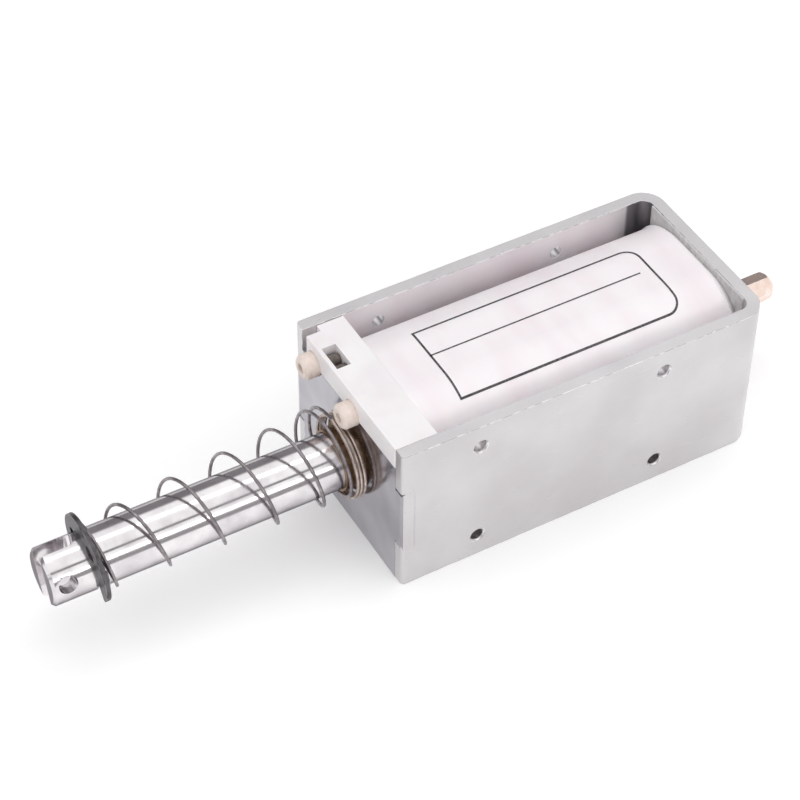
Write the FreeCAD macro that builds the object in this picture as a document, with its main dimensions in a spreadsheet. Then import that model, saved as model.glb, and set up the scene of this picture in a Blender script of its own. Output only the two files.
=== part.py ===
import FreeCAD, Part
import math
import os
import Sketcher

# Driving dimensions in millimetres
SIZES = {
    "frameLength": 110.0,      # front face of the U to the outside of its rear wall
    "frameWidth": 56.0,        # outside to outside of the side walls
    "frameHeight": 47.4,
    "sheetThick": 3.5,         # steel strip of the U and of the front plate
    "innerBend": 3.0,          # inside radius of the two rear bends
    "edgeRound": 1.2,          # rounding of the front corners
    "holePitchAlong": 55.0,    # mounting holes in each side wall
    "holePitchUp": 33.0,
    "holeSetback": 22.6,       # first mounting hole from the front
    "holeDia": 3.5,
    "holeMouth": 4.4,          # countersink of the mounting holes
    "lipHeight": 7.0,          # the front plate stops this far below the wall tops
    "tongueHeight": 18.7,
    "tongueRelief": 0.8,       # open corners at the mouths of the tongue notches
    "plateGap": 0.05,          # front plate to side wall
    "flangeThick": 8.0,        # front flange of the bobbin
    "rearFlangeThick": 2.0,
    "rearFlangeCorner": 16.5,  # the rear flange follows the outline of the wound coil
    "rearFlangeBevel": 1.8,    # the rear flange clears the bends of the frame
    "insulatorThick": 0.5,
    "coilGap": 0.2,            # wrap to side wall
    "coilInset": 0.2,          # wrap below the wall tops
    "coilCorner": 17.5,        # corner radius of the wound coil
    "wrapThick": 0.5,
    "bobbinWall": 1.2,
    "tubeWall": 0.64,
    "tubeSnout": 5.0,          # guide tube in front of the front plate
    "collarDia": 19.2,
    "collarThick": 1.0,
    "slipGap": 0.1,            # round pieces pushed together by hand
    "runGap": 0.06,            # radial clearance of what slides
    "plungerDia": 15.6,
    "plungerReach": 86.2,      # tip of the plunger in front of the frame at rest
    "tipBevel": 0.8,
    "clevisSlot": 5.4,
    "clevisDepth": 10.0,
    "pinDia": 5.0,
    "pinSetback": 4.2,
    "clevisTurn": -18.0,       # the round plunger lies turned by this about its axis
    "stroke": 60.0,
    "stopGap": 0.3,            # plunger to core at the end of the stroke
    "coneWide": 12.0,
    "coneNarrow": 8.4,
    "coneDepth": 4.5,
    "poleLength": 12.0,
    "spigotDia": 11.0,
    "rodDia": 5.0,
    "rodSocket": 12.0,
    "rodThreadDia": 4.0,
    "rodThreadLength": 8.0,
    "rodBushDia": 8.0,
    "shadingInner": 12.8,
    "shadingOuter": 14.8,
    "shadingDepth": 1.5,
    "washerDia": 14.0,
    "washerThick": 1.5,
    "hexFlats": 7.0,
    "hexBevel": 1.3,
    "tipReach": 22.4,          # end of the hexagon behind the frame at rest
    "clipDia": 24.0,
    "clipThick": 1.3,
    "clipGroove": 12.0,
    "clipMouth": 10.4,
    "clipReliefDia": 4.6,      # half round reliefs beside the upper jaw
    "clipReliefSide": 5.4,
    "clipReliefUp": 4.1,
    "clipPlay": 0.05,
    "clipReach": 72.9,         # spring side of the clip in front of the frame at rest
    "wireDia": 1.0,
    "wireSides": 8,            # flats that stand for the round section of the wire
    "closedDia": 23.4,         # mean diameter of the closed turns at the front plate
    "openDia": 25.4,           # mean diameter where the open turns begin
    "clipTurnDia": 18.6,       # mean diameter of the last turn at the clip
    "openLift": 2.2,           # the first open turns stand this far above the plunger axis
    "clipLift": 0.4,           # and the last ones this far
    "closedTurns": 3,
    "openTurns": 6,
    "endTurns": 1,
    "closedPitch": 1.1,
    "easeTurns": 2.6,          # turns from the closed pitch to the full one
    "easeTurnsClip": 0.5,
    "leadBushDia": 7.0,
    "leadBushReach": 4.0,      # bush in front of the front plate
    "leadBoreDia": 2.6,
    "leadBevel": 0.8,          # rim of the lead bushes
    "leadDrop": 6.6,           # middle of the lead bushes below the wall tops
    "leadInset": 6.35,         # far lead bush to the far side wall
    "leadSpacing": 20.3,
    "windowSetback": 1.2,      # window in the lip of the bobbin
    "windowLength": 4.0,
    "windowInset": 12.6,       # middle of the window to the far side wall
    "windowWidth": 8.4,
    "windowDepth": 5.0,
    "lipNotchLength": 4.2,     # cut corner of the lip beside the far side wall
    "lipNotchWidth": 2.2,
    "lipRound": 0.8,
    "jointDia": 3.2,
}

TOUCH = 0.01                   # edges nearer than this to a plane lie in it
EXACT = 1e-6                   # rounding of directions and volumes

doc = FreeCAD.newDocument("PushPullSolenoid")
sheet = doc.addObject("Spreadsheet::Sheet", "Sizes")
for row, (alias, value) in enumerate(SIZES.items(), start=1):
    sheet.set("A%d" % row, alias)
    sheet.set("B%d" % row, str(value))
    sheet.setAlias("B%d" % row, alias)
doc.recompute()

# Places along the plunger axis, from the front face of the frame, as expressions
REAR_FACE = "Sizes.frameLength"
WALL_INSIDE = "(Sizes.frameLength - Sizes.sheetThick)"
POLE_FACE = "(Sizes.frameLength - Sizes.sheetThick - Sizes.poleLength)"
SEAT_FLOOR = "(%s + Sizes.coneDepth)" % POLE_FACE
NOSE_FACE = "(%s - Sizes.stopGap - Sizes.stroke)" % POLE_FACE
NOSE_END = "(%s + Sizes.coneDepth)" % NOSE_FACE
FLANGE_FRONT = "(Sizes.sheetThick + Sizes.insulatorThick)"
FLANGE_BACK = "(%s + Sizes.flangeThick)" % FLANGE_FRONT
REAR_FLANGE_BACK = "(%s - Sizes.insulatorThick)" % WALL_INSIDE
REAR_FLANGE_FRONT = "(%s - Sizes.rearFlangeThick)" % REAR_FLANGE_BACK
HEX_FACE = "(Sizes.frameLength + Sizes.washerThick)"
HEX_END = "(Sizes.frameLength + Sizes.tipReach)"

# Heights and widths from the plunger axis, as expressions
TOP = "(Sizes.frameHeight/2)"
SIDE = "(Sizes.frameWidth/2)"
SIDE_INSIDE = "(Sizes.frameWidth/2 - Sizes.sheetThick)"
PLATE_SIDE = "(%s - Sizes.plateGap)" % SIDE_INSIDE
PLATE_TOP = "(%s - Sizes.lipHeight)" % TOP
COIL_SIDE = "(%s - Sizes.coilGap)" % SIDE_INSIDE
COIL_TOP = "(%s - Sizes.coilInset)" % TOP
BEND_SIDE = "(%s - Sizes.innerBend)" % COIL_SIDE
LEAD_UP = "(%s - Sizes.leadDrop)" % TOP
LEAD_FAR = "(%s - Sizes.leadInset)" % SIDE_INSIDE
LEAD_NEAR = "(%s - Sizes.leadSpacing)" % LEAD_FAR
WINDOW_SIDE = "(%s - Sizes.windowInset)" % SIDE_INSIDE

# Radii, as expressions
LEAD_HOLE = "(Sizes.leadBushDia/2 + Sizes.slipGap)"
PLUNGER_RADIUS = "(Sizes.plungerDia/2)"
TUBE_BORE = "(Sizes.plungerDia/2 + Sizes.runGap)"
TUBE_OUTSIDE = "(%s + Sizes.tubeWall)" % TUBE_BORE
BOBBIN_BORE = "(%s + Sizes.slipGap)" % TUBE_OUTSIDE
BOBBIN_OUTSIDE = "(%s + Sizes.bobbinWall)" % BOBBIN_BORE
ROD_RADIUS = "(Sizes.rodDia/2)"

# Every sub-part is drawn about the plunger axis, with the front face of the frame at zero.
# The origin of the part is in the middle of its length, below the frame.
FRONT_X = "(Sizes.plungerReach - Sizes.frameLength - Sizes.tipReach)/2"


# Where a sketch is first drawn, before its expressions move it into place
DRAFT_CENTRE = FreeCAD.Vector(20, 20, 0)
DRAFT_RADIUS = 10


def place(part, turn=None):
    """Put a finished sub-part where it belongs, turned about the plunger axis if need be."""
    if turn:
        part.Placement = FreeCAD.Placement(
            FreeCAD.Vector(), FreeCAD.Rotation(FreeCAD.Vector(1, 0, 0), 1))
        part.setExpression("Placement.Rotation.Angle", turn)
    part.setExpression("Placement.Base.x", FRONT_X)
    part.setExpression("Placement.Base.z", TOP)


def newBody(label, turn=None):
    body = doc.addObject("PartDesign::Body", label)
    body.Label = label
    place(body, turn)
    return body


def newSketch(body, name, role, offset=None):
    """A sketch on one of the body's own origin planes, moved along its normal by offset."""
    sketch = body.newObject("Sketcher::SketchObject", name)
    plane = [item for item in body.Origin.OriginFeatures if item.Role == role][0]
    sketch.AttachmentSupport = (plane, [""])
    sketch.MapMode = "FlatFace"
    if offset:
        sketch.setExpression("AttachmentOffset.Base.z", offset)
    return sketch


def fixCoordinate(sketch, kind, geometry, point, value, expression):
    """Tie one coordinate of a point to an expression."""
    if expression == "0":
        axis = -2 if kind == "DistanceX" else -1
        sketch.addConstraint(Sketcher.Constraint("PointOnObject", geometry, point, axis))
        return
    index = sketch.addConstraint(Sketcher.Constraint(kind, -1, 1, geometry, point, value))
    sketch.setExpression("Constraints[%d]" % index, expression)


def addPolygon(sketch, corners):
    """A closed outline whose corners are pairs of expressions.

    It is first drawn on a circle clear of the axes, and the expressions then move its corners."""
    first = sketch.GeometryCount
    count = len(corners)
    start = []
    for index in range(count):
        angle = 2 * math.pi * index / count
        ray = FreeCAD.Vector(math.cos(angle), math.sin(angle), 0)
        start.append(DRAFT_CENTRE + ray * DRAFT_RADIUS)
    for index in range(count):
        sketch.addGeometry(Part.LineSegment(start[index], start[(index + 1) % count]), False)
    for index in range(count):
        following = first + (index + 1) % count
        sketch.addConstraint(Sketcher.Constraint("Coincident", first + index, 2, following, 1))
    for index, (across, up) in enumerate(corners):
        fixCoordinate(sketch, "DistanceX", first + index, 1, start[index].x, across)
        fixCoordinate(sketch, "DistanceY", first + index, 1, start[index].y, up)


def addRectangle(sketch, left, right, bottom, top):
    addPolygon(sketch, [(left, bottom), (right, bottom), (right, top), (left, top)])


def addCircle(sketch, across, up, radius):
    index = sketch.GeometryCount
    sketch.addGeometry(Part.Circle(DRAFT_CENTRE, FreeCAD.Vector(0, 0, 1), DRAFT_RADIUS), False)
    fixCoordinate(sketch, "DistanceX", index, 3, DRAFT_CENTRE.x, across)
    fixCoordinate(sketch, "DistanceY", index, 3, DRAFT_CENTRE.y, up)
    bound = sketch.addConstraint(Sketcher.Constraint("Radius", index, DRAFT_RADIUS))
    sketch.setExpression("Constraints[%d]" % bound, radius)


def addPad(body, name, sketch, length):
    pad = body.newObject("PartDesign::Pad", name)
    pad.Profile = sketch
    pad.setExpression("Length", length)
    return pad


def addRevolution(body, name, corners):
    """Turn an outline of (along, radius) corners about the plunger axis."""
    sketch = newSketch(body, name + "Profile", "XY_Plane")
    addPolygon(sketch, corners)
    turned = body.newObject("PartDesign::Revolution", name)
    turned.Profile = sketch
    turned.ReferenceAxis = (sketch, ["H_Axis"])
    turned.Angle = 360
    return turned


def addPocket(body, name, sketch, length, both=False, backwards=False):
    """Cut a sketch out of the body and make sure that it took material away."""
    doc.recompute()
    before = body.Shape.Volume
    pocket = body.newObject("PartDesign::Pocket", name)
    pocket.Profile = sketch
    pocket.Type = "Length"
    pocket.Midplane = both
    pocket.Reversed = backwards
    pocket.setExpression("Length", length)
    doc.recompute()
    if not body.Shape.Volume < before - EXACT:
        raise RuntimeError(body.Label + ": " + name + " cuts nothing")
    return pocket


def upright(edge):
    """True for a straight edge along the height of the part."""
    if not isinstance(edge.Curve, Part.Line):
        return False
    return abs(abs(edge.Curve.Direction.z) - 1) < EXACT


def lengthwise(edge):
    """True for a straight edge along the plunger axis."""
    if not isinstance(edge.Curve, Part.Line):
        return False
    return abs(abs(edge.Curve.Direction.x) - 1) < EXACT


def crosswise(edge):
    """True for a straight edge from side to side."""
    if not isinstance(edge.Curve, Part.Line):
        return False
    return abs(abs(edge.Curve.Direction.y) - 1) < EXACT


def edgeNames(feature, wanted):
    """Names of the edges of a feature that a test picks out by their middle points."""
    names = []
    for index, edge in enumerate(feature.Shape.Edges, start=1):
        if wanted(edge, edge.BoundBox.Center):
            names.append("Edge%d" % index)
    if not names:
        raise RuntimeError(feature.Label + ": no edge to dress")
    return names


def addFillet(body, name, feature, wanted, radius):
    doc.recompute()
    fillet = body.newObject("PartDesign::Fillet", name)
    fillet.Base = (feature, edgeNames(feature, wanted))
    fillet.setExpression("Radius", radius)
    return fillet


def addChamfer(body, name, feature, wanted, size):
    doc.recompute()
    chamfer = body.newObject("PartDesign::Chamfer", name)
    chamfer.Base = (feature, edgeNames(feature, wanted))
    chamfer.setExpression("Size", size)
    return chamfer


def makeFrame():
    """Steel strip bent to a U, with mounting holes, tongue notches and the core's hole."""
    body = newBody("u_frame")
    outline = newSketch(body, "StripOutline", "XY_Plane", "-" + TOP)
    addPolygon(outline, [
        ("0", "-" + SIDE), (REAR_FACE, "-" + SIDE), (REAR_FACE, SIDE), ("0", SIDE),
        ("0", SIDE_INSIDE), (WALL_INSIDE, SIDE_INSIDE),
        (WALL_INSIDE, "-" + SIDE_INSIDE), ("0", "-" + SIDE_INSIDE)])
    strip = addPad(body, "Strip", outline, "Sizes.frameHeight")
    rear = sheet.frameLength - sheet.sheetThick / 2
    outside = addFillet(body, "OuterBends", strip, lambda edge, middle: (
        upright(edge) and middle.x > rear), "Sizes.innerBend + Sizes.sheetThick")
    inside = addFillet(body, "InnerBends", outside, lambda edge, middle: (
        upright(edge) and abs(middle.x - sheet.frameLength + sheet.sheetThick) < TOUCH
        and abs(middle.y) > sheet.frameWidth / 4
        and abs(middle.y) < sheet.frameWidth / 2 - sheet.sheetThick + TOUCH),
        "Sizes.innerBend")
    front = addFillet(body, "FrontCorners", inside, lambda edge, middle: (
        upright(edge) and middle.x < TOUCH
        and abs(middle.y) > sheet.frameWidth / 2 - TOUCH), "Sizes.edgeRound")
    doc.recompute()

    holes = newSketch(body, "SideHoles", "XZ_Plane")
    for along in ("Sizes.holeSetback", "Sizes.holeSetback + Sizes.holePitchAlong"):
        for up in ("Sizes.holePitchUp/2", "-Sizes.holePitchUp/2"):
            addCircle(holes, along, up, "Sizes.holeDia/2")
    addPocket(body, "SideHolePocket", holes, "2*Sizes.frameWidth", both=True)

    notches = newSketch(body, "TongueNotches", "XZ_Plane")
    addRectangle(notches, "-Sizes.sheetThick", "Sizes.sheetThick",
                 "-Sizes.tongueHeight/2 - Sizes.plateGap",
                 "Sizes.tongueHeight/2 + Sizes.plateGap")
    notched = addPocket(body, "TongueNotchPocket", notches, "2*Sizes.frameWidth", both=True)
    addChamfer(body, "NotchMouths", notched, lambda edge, middle: (
        crosswise(edge) and middle.x < TOUCH
        and abs(abs(middle.z) - sheet.tongueHeight / 2) < sheet.sheetThick),
        "Sizes.tongueRelief")

    seat = newSketch(body, "CoreHole", "YZ_Plane")
    addCircle(seat, "0", "0", "Sizes.spigotDia/2 + Sizes.plateGap")
    addPocket(body, "CoreHolePocket", seat, "2*Sizes.frameLength + Sizes.sheetThick",
              backwards=True)
    doc.recompute()
    rims = body.Tip
    outer = sheet.frameWidth / 2
    addChamfer(body, "HoleMouths", rims, lambda edge, middle: (
        isinstance(edge.Curve, Part.Circle) and abs(edge.Curve.Axis.y) > 0.9
        and edge.Closed and abs(abs(middle.y) - outer) < TOUCH),
        "(Sizes.holeMouth - Sizes.holeDia)/2")
    return body


def makeFrontPlate():
    """Plate with a tongue at each side, a hole for the guide tube and two lead notches."""
    body = newBody("front_plate")
    outline = newSketch(body, "PlateOutline", "YZ_Plane")
    half = "Sizes.tongueHeight/2"
    addPolygon(outline, [
        ("-" + PLATE_SIDE, "-" + TOP), (PLATE_SIDE, "-" + TOP),
        (PLATE_SIDE, "-" + half), (SIDE, "-" + half), (SIDE, half), (PLATE_SIDE, half),
        (PLATE_SIDE, PLATE_TOP), ("-" + PLATE_SIDE, PLATE_TOP),
        ("-" + PLATE_SIDE, half), ("-" + SIDE, half), ("-" + SIDE, "-" + half),
        ("-" + PLATE_SIDE, "-" + half)])
    plate = addPad(body, "Plate", outline, "Sizes.sheetThick")
    addFillet(body, "TongueCorners", plate, lambda edge, middle: (
        upright(edge) and middle.x < TOUCH
        and abs(middle.y) > sheet.frameWidth / 2 - TOUCH), "Sizes.edgeRound")
    hole = newSketch(body, "GuideHole", "YZ_Plane")
    addCircle(hole, "0", "0", BOBBIN_BORE)
    addPocket(body, "GuideHolePocket", hole, "4*Sizes.sheetThick", both=True)
    leads = newSketch(body, "LeadNotches", "YZ_Plane")
    for across in (LEAD_FAR, LEAD_NEAR):
        addCircle(leads, across, LEAD_UP, LEAD_HOLE)
    addPocket(body, "LeadNotchPocket", leads, "4*Sizes.sheetThick", both=True)
    return body


def makeBobbin():
    """White moulding: tube, thick front flange with a lip over the plate, thin rear flange."""
    body = newBody("bobbin")
    tube = newSketch(body, "TubeSection", "YZ_Plane", FLANGE_FRONT)
    addCircle(tube, "0", "0", BOBBIN_OUTSIDE)
    addPad(body, "Tube", tube, "%s - %s" % (REAR_FLANGE_BACK, FLANGE_FRONT))
    front = newSketch(body, "FrontFlangeOutline", "YZ_Plane", FLANGE_FRONT)
    addRectangle(front, "-" + COIL_SIDE, COIL_SIDE, "-" + COIL_TOP, COIL_TOP)
    addPad(body, "FrontFlange", front, "Sizes.flangeThick")
    rear = newSketch(body, "RearFlangeOutline", "YZ_Plane", REAR_FLANGE_FRONT)
    addRectangle(rear, "-" + COIL_SIDE, COIL_SIDE, "-" + COIL_TOP, COIL_TOP)
    rearPad = addPad(body, "RearFlange", rear, "Sizes.rearFlangeThick")
    doc.recompute()
    back = sheet.frameLength - sheet.sheetThick - sheet.insulatorThick
    corners = addFillet(body, "RearFlangeCorners", rearPad, lambda edge, middle: (
        lengthwise(edge) and middle.x > back - sheet.rearFlangeThick),
        "Sizes.rearFlangeCorner")
    addChamfer(body, "RearFlangeBevels", corners, lambda edge, middle: (
        upright(edge) and middle.x > back - TOUCH), "Sizes.rearFlangeBevel")
    lip = newSketch(body, "LipOutline", "YZ_Plane")
    bottom = "(%s + Sizes.plateGap)" % PLATE_TOP
    addRectangle(lip, "-" + COIL_SIDE, COIL_SIDE, bottom, COIL_TOP)
    lipPad = addPad(body, "Lip", lip, FLANGE_FRONT)
    doc.recompute()
    addFillet(body, "LipCorners", lipPad, lambda edge, middle: (
        upright(edge) and middle.x < TOUCH), "Sizes.lipRound")
    notch = newSketch(body, "LipNotch", "XY_Plane", bottom)
    addRectangle(notch, "-Sizes.lipNotchLength", "Sizes.lipNotchLength",
                 "%s - Sizes.lipNotchWidth" % COIL_SIDE, SIDE)
    addPocket(body, "LipNotchPocket", notch, "Sizes.frameHeight", backwards=True)
    bore = newSketch(body, "TubeBore", "YZ_Plane", FLANGE_FRONT)
    addCircle(bore, "0", "0", BOBBIN_BORE)
    addPocket(body, "TubeBorePocket", bore, "Sizes.frameLength", backwards=True)
    leads = newSketch(body, "LeadHoles", "YZ_Plane")
    for across in (LEAD_FAR, LEAD_NEAR):
        addCircle(leads, across, LEAD_UP, LEAD_HOLE)
    addPocket(body, "LeadHolePocket", leads, FLANGE_FRONT, backwards=True)
    window = newSketch(body, "Window", "XY_Plane", COIL_TOP)
    addRectangle(window, "Sizes.windowSetback", "Sizes.windowSetback + Sizes.windowLength",
                 "%s - Sizes.windowWidth/2" % WINDOW_SIDE,
                 "%s + Sizes.windowWidth/2" % WINDOW_SIDE)
    addPocket(body, "WindowPocket", window, "Sizes.windowDepth")
    return body


def roundedCoil(body, name, start, end, side, top, corner):
    """A block with the rounded square section of the wound coil."""
    outline = newSketch(body, name + "Outline", "YZ_Plane", start)
    addRectangle(outline, "-" + side, side, "-" + top, top)
    block = addPad(body, name, outline, "%s - %s" % (end, start))
    return addFillet(body, name + "Corners", block,
                     lambda edge, middle: lengthwise(edge), corner)


def makeWinding():
    body = newBody("winding")
    roundedCoil(body, "Turns", FLANGE_BACK, REAR_FLANGE_FRONT,
                "(%s - Sizes.wrapThick)" % COIL_SIDE, "(%s - Sizes.wrapThick)" % COIL_TOP,
                "Sizes.coilCorner - Sizes.wrapThick")
    bore = newSketch(body, "WindingBore", "YZ_Plane", FLANGE_BACK)
    addCircle(bore, "0", "0", BOBBIN_OUTSIDE)
    addPocket(body, "WindingBorePocket", bore, "Sizes.frameLength", backwards=True)
    return body


def makeWrap():
    """Insulation sheet round the winding, open at both ends."""
    body = newBody("coil_wrap")
    block = roundedCoil(body, "Sheet", FLANGE_BACK, REAR_FLANGE_FRONT,
                        COIL_SIDE, COIL_TOP, "Sizes.coilCorner")
    doc.recompute()
    ends = []
    for index, face in enumerate(block.Shape.Faces, start=1):
        if isinstance(face.Surface, Part.Plane) and abs(face.Surface.Axis.x) > 0.9:
            ends.append("Face%d" % index)
    shell = body.newObject("PartDesign::Thickness", "SheetShell")
    shell.Base = (block, ends)
    shell.Reversed = True
    shell.setExpression("Value", "Sizes.wrapThick")
    return body


def makeTurned(label, corners, turn=None):
    """A piece turned on a lathe."""
    body = newBody(label, turn)
    addRevolution(body, "Turned", corners)
    return body


def makeInsulator(label, start):
    """Thin sheet between the bobbin and the steel."""
    body = newBody(label)
    outline = newSketch(body, "SheetOutline", "YZ_Plane", start)
    up = PLATE_TOP if label.startswith("front") else COIL_TOP
    side = COIL_SIDE if label.startswith("front") else BEND_SIDE
    addRectangle(outline, "-" + side, side, "-" + COIL_TOP, up)
    addPad(body, "Sheet", outline, "Sizes.insulatorThick")
    hole = newSketch(body, "SheetHole", "YZ_Plane", start)
    addCircle(hole, "0", "0", BOBBIN_BORE)
    addPocket(body, "SheetHolePocket", hole, "4*Sizes.insulatorThick", both=True)
    if label.startswith("front"):
        leads = newSketch(body, "LeadNotches", "YZ_Plane", start)
        for across in (LEAD_FAR, LEAD_NEAR):
            addCircle(leads, across, LEAD_UP, LEAD_HOLE)
        addPocket(body, "LeadNotchPocket", leads, "4*Sizes.insulatorThick", both=True)
    return body


def makeLeadBush(label, across):
    """Insulating bush over the front plate that a lead comes out of."""
    body = newBody(label)
    outline = newSketch(body, "BushSection", "YZ_Plane", "-Sizes.leadBushReach")
    addCircle(outline, across, LEAD_UP, "Sizes.leadBushDia/2")
    addCircle(outline, across, LEAD_UP, "Sizes.leadBoreDia/2")
    bush = addPad(body, "Bush", outline, "Sizes.leadBushReach + %s" % FLANGE_FRONT)
    addChamfer(body, "BushRim", bush, lambda edge, middle: (
        isinstance(edge.Curve, Part.Circle) and middle.x < 0
        and edge.Curve.Radius > (sheet.leadBoreDia + sheet.leadBushDia) / 4), "Sizes.leadBevel")
    return body


def makeLeadJoint(label, side):
    """Sleeved joint of winding wire and lead, lying in the window of the bobbin."""
    body = newBody(label)
    across = "%s %s Sizes.windowWidth/4" % (WINDOW_SIDE, side)
    outline = newSketch(body, "JointSection", "YZ_Plane",
                        "Sizes.windowSetback + Sizes.slipGap")
    addCircle(outline, across, "%s - Sizes.windowDepth + Sizes.jointDia/2" % COIL_TOP,
              "Sizes.jointDia/2")
    addPad(body, "Joint", outline, "Sizes.windowLength - 2*Sizes.slipGap")
    return body


def makePlunger():
    """Round steel armature with a clevis end, a clip groove and a conical nose."""
    body = newBody("plunger", "Sizes.clevisTurn")
    tip = "-Sizes.plungerReach"
    grooveRear = "(-Sizes.clipReach + Sizes.clipPlay)"
    grooveFront = "(-Sizes.clipReach - Sizes.clipThick - Sizes.clipPlay)"
    socket = "(Sizes.rodDia/2 + Sizes.runGap/2)"
    addRevolution(body, "Turned", [
        (tip, "0"), (tip, PLUNGER_RADIUS + " - Sizes.tipBevel"),
        (tip + " + Sizes.tipBevel", PLUNGER_RADIUS), (grooveFront, PLUNGER_RADIUS),
        (grooveFront, "Sizes.clipGroove/2"), (grooveRear, "Sizes.clipGroove/2"),
        (grooveRear, PLUNGER_RADIUS), (NOSE_FACE, PLUNGER_RADIUS),
        (NOSE_FACE, "Sizes.coneWide/2"), (NOSE_END, "Sizes.coneNarrow/2"),
        (NOSE_END, socket), (NOSE_END + " - Sizes.rodSocket", socket),
        (NOSE_END + " - Sizes.rodSocket", "0")])
    slot = newSketch(body, "ClevisSlot", "XY_Plane")
    addRectangle(slot, tip + " - Sizes.clevisSlot",
                 tip + " + Sizes.clevisDepth - Sizes.clevisSlot/2",
                 "-Sizes.clevisSlot/2", "Sizes.clevisSlot/2")
    addPocket(body, "ClevisSlotPocket", slot, "2*Sizes.plungerDia", both=True)
    root = newSketch(body, "ClevisRoot", "XY_Plane")
    addCircle(root, tip + " + Sizes.clevisDepth - Sizes.clevisSlot/2", "0",
              "Sizes.clevisSlot/2")
    addPocket(body, "ClevisRootPocket", root, "2*Sizes.plungerDia", both=True)
    pin = newSketch(body, "PinHole", "XZ_Plane")
    addCircle(pin, tip + " + Sizes.pinSetback", "0", "Sizes.pinDia/2")
    addPocket(body, "PinHolePocket", pin, "2*Sizes.plungerDia", both=True)
    return body


def makeClip():
    """Flat spring steel clip with three jaws, pushed into the groove from the side."""
    body = newBody("e_clip", "Sizes.clevisTurn")
    front = "-Sizes.clipReach - Sizes.clipThick"
    disc = newSketch(body, "ClipDisc", "YZ_Plane", front)
    addCircle(disc, "0", "0", "Sizes.clipDia/2")
    addPad(body, "Disc", disc, "Sizes.clipThick")
    throat = newSketch(body, "ClipThroat", "YZ_Plane", front)
    addCircle(throat, "0", "0", "Sizes.clipGroove/2 + Sizes.clipPlay")
    addPocket(body, "ClipThroatPocket", throat, "3*Sizes.clipThick", both=True)
    mouth = newSketch(body, "ClipMouth", "YZ_Plane", front)
    addRectangle(mouth, "-Sizes.clipMouth/2", "Sizes.clipMouth/2", "-Sizes.clipDia", "0")
    addPocket(body, "ClipMouthPocket", mouth, "3*Sizes.clipThick", both=True)
    reliefs = newSketch(body, "ClipReliefs", "YZ_Plane", front)
    for across in ("Sizes.clipReliefSide", "-Sizes.clipReliefSide"):
        addCircle(reliefs, across, "Sizes.clipReliefUp", "Sizes.clipReliefDia/2")
    reliefPocket = addPocket(body, "ClipReliefPocket", reliefs, "3*Sizes.clipThick", both=True)
    reach = sheet.clipDia / 2
    addFillet(body, "LegEnds", reliefPocket, lambda edge, middle: (
        lengthwise(edge) and middle.z < -0.5 * reach
        and math.hypot(middle.y, middle.z) > 0.9 * reach), "Sizes.clipThick/2")
    return body


def makeHexTip():
    """Brass hexagon on the end of the push rod, bevelled at its outer end."""
    body = newBody("hex_tip", "45")
    outline = newSketch(body, "HexOutline", "YZ_Plane", HEX_FACE)
    corner = "Sizes.hexFlats/sqrt(3)"
    near = "Sizes.hexFlats/sqrt(12)"
    flat = "Sizes.hexFlats/2"
    addPolygon(outline, [
        (corner, "0"), (near, flat), ("-" + near, flat),
        ("-" + corner, "0"), ("-" + near, "-" + flat), (near, "-" + flat)])
    addPad(body, "Hexagon", outline, "Sizes.tipReach - Sizes.washerThick")
    doc.recompute()
    before = body.Shape.Volume
    bevel = newSketch(body, "BevelProfile", "XY_Plane")
    addPolygon(bevel, [
        (HEX_END, corner + " - Sizes.hexBevel"), (HEX_END, corner + " + Sizes.hexBevel"),
        (HEX_END + " - 2*Sizes.hexBevel", corner + " + Sizes.hexBevel")])
    groove = body.newObject("PartDesign::Groove", "Bevel")
    groove.Profile = bevel
    groove.ReferenceAxis = (bevel, ["H_Axis"])
    groove.Angle = 360
    doc.recompute()
    if not body.Shape.Volume < before - EXACT:
        raise RuntimeError("hex_tip: bevel cuts nothing")
    bore = newSketch(body, "ThreadBore", "YZ_Plane", HEX_FACE)
    addCircle(bore, "0", "0", "Sizes.rodThreadDia/2 + Sizes.runGap/2")
    addPocket(body, "ThreadBorePocket", bore, "Sizes.rodThreadLength + Sizes.slipGap",
              backwards=True)
    return body


def openShare(turn):
    """Share of the open length that the wire has covered, with a pitch that eases in and out."""
    done = min(max(turn - sheet.closedTurns, 0.0), sheet.openTurns)
    left = sheet.openTurns - done
    total = sheet.openTurns - (sheet.easeTurns + sheet.easeTurnsClip) / 2
    if done < sheet.easeTurns:
        return done ** 2 / (2 * sheet.easeTurns) / total
    if left < sheet.easeTurnsClip:
        return 1 - left ** 2 / (2 * sheet.easeTurnsClip) / total
    return (done - sheet.easeTurns / 2) / total


def springTurn(turn, turns):
    """Top or bottom of the spring wire's middle line after so many turns from the plate."""
    spare = sheet.clipReach - sheet.wireDia - 2 * sheet.runGap - sheet.closedPitch * turns
    along = sheet.wireDia / 2 + sheet.runGap + sheet.closedPitch * turn + spare * openShare(turn)
    radius = sheet.closedDia / 2
    lift = 0.0
    if turn > sheet.closedTurns:
        share = min((turn - sheet.closedTurns) / sheet.openTurns, 1.0)
        radius = (sheet.openDia + (sheet.clipTurnDia - sheet.openDia) * share) / 2
        lift = sheet.openLift + (sheet.clipLift - sheet.openLift) * share
    side = 1 if turn == int(turn) else -1
    return FreeCAD.Vector(-along, 0, lift + side * radius)


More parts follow.
